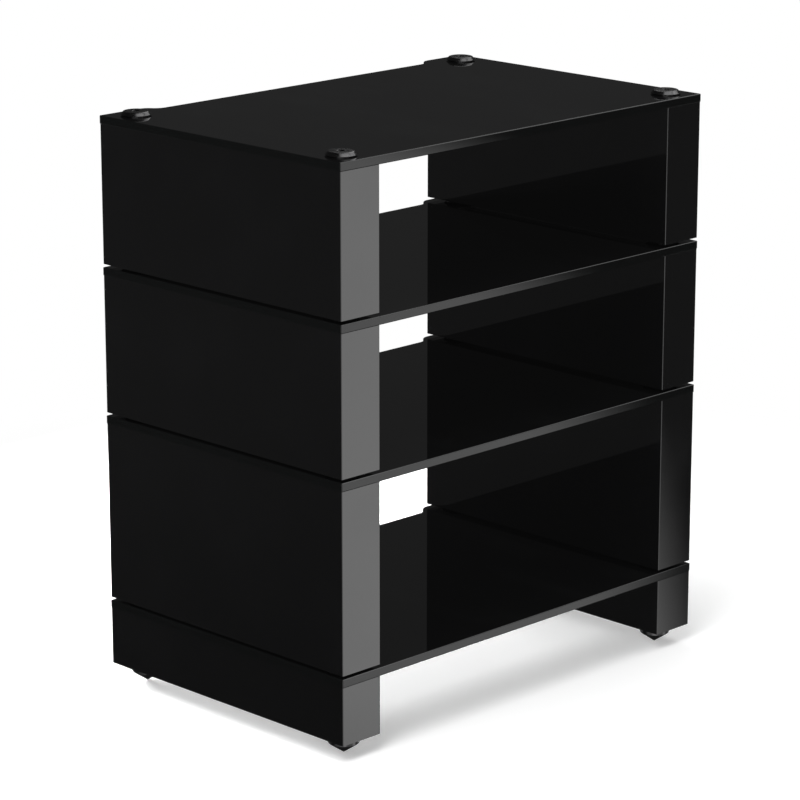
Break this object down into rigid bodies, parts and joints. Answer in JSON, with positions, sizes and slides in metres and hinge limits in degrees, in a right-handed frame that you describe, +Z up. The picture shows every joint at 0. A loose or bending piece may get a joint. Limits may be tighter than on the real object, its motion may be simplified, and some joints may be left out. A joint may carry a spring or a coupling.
{
  "type": "audio equipment rack",
  "caption": "Free-standing modular audio rack: a low plinth and stacked open tiers, each a pair of thick side panels under a thin shelf, joined by hidden spikes and spike shoes.",
  "frame": {"origin": "on the floor, at the four spike tips' level, under the middle of the rack", "axes": "+Z up, -Y towards the front, +X to the right seen from the front"},
  "size_m": [0.6, 0.4, 0.6958],
  "materials": {
    "lacquer": "gloss black lacquer on fibreboard",
    "glass": "opaque black glass with polished edges",
    "steel": "turned steel, satin black"
  },
  "bodies": {
    "plinth": {"plinth_panel_left": "lacquer", "plinth_panel_right": "lacquer", "plinth_shelf": "glass", "plinth_shoe_front_left": "steel", "plinth_shoe_front_right": "steel", "plinth_shoe_rear_left": "steel", "plinth_shoe_rear_right": "steel"},
    "low_tier": {"low_tier_panel_left": "lacquer", "low_tier_panel_right": "lacquer", "low_tier_shelf": "glass", "low_tier_shoe_front_left": "steel", "low_tier_shoe_front_right": "steel", "low_tier_shoe_rear_left": "steel", "low_tier_shoe_rear_right": "steel", "low_tier_spike_front_left": "steel", "low_tier_spike_front_right": "steel", "low_tier_spike_rear_left": "steel", "low_tier_spike_rear_right": "steel"},
    "middle_tier": {"middle_tier_panel_left": "lacquer", "middle_tier_panel_right": "lacquer", "middle_tier_shelf": "glass", "middle_tier_shoe_front_left": "steel", "middle_tier_shoe_front_right": "steel", "middle_tier_shoe_rear_left": "steel", "middle_tier_shoe_rear_right": "steel", "middle_tier_spike_front_left": "steel", "middle_tier_spike_front_right": "steel", "middle_tier_spike_rear_left": "steel", "middle_tier_spike_rear_right": "steel"},
    "top_tier": {"top_tier_panel_left": "lacquer", "top_tier_panel_right": "lacquer", "top_tier_shelf": "glass", "top_tier_shoe_front_left": "steel", "top_tier_shoe_front_right": "steel", "top_tier_shoe_rear_left": "steel", "top_tier_shoe_rear_right": "steel", "top_tier_spike_front_left": "steel", "top_tier_spike_front_right": "steel", "top_tier_spike_rear_left": "steel", "top_tier_spike_rear_right": "steel"},
    "foot_front_left": {"plinth_spike_front_left": "steel"},
    "foot_front_right": {"plinth_spike_front_right": "steel"},
    "foot_rear_left": {"plinth_spike_rear_left": "steel"},
    "foot_rear_right": {"plinth_spike_rear_right": "steel"}
  },
  "joints": [
    {"name": "low_tier_lift", "type": "slide", "parent": "plinth", "child": "low_tier", "axis": [0, 0, 1], "range_m": [0, 0.04]},
    {"name": "middle_tier_lift", "type": "slide", "parent": "low_tier", "child": "middle_tier", "axis": [0, 0, 1], "range_m": [0, 0.04]},
    {"name": "top_tier_lift", "type": "slide", "parent": "middle_tier", "child": "top_tier", "axis": [0, 0, 1], "range_m": [0, 0.04]},
    {"name": "foot_front_left_level", "type": "slide", "parent": "plinth", "child": "foot_front_left", "axis": [0, 0, -1], "range_m": [0, 0.008]},
    {"name": "foot_front_right_level", "type": "slide", "parent": "plinth", "child": "foot_front_right", "axis": [0, 0, -1], "range_m": [0, 0.008]},
    {"name": "foot_rear_left_level", "type": "slide", "parent": "plinth", "child": "foot_rear_left", "axis": [0, 0, -1], "range_m": [0, 0.008]},
    {"name": "foot_rear_right_level", "type": "slide", "parent": "plinth", "child": "foot_rear_right", "axis": [0, 0, -1], "range_m": [0, 0.008]}
  ]
}
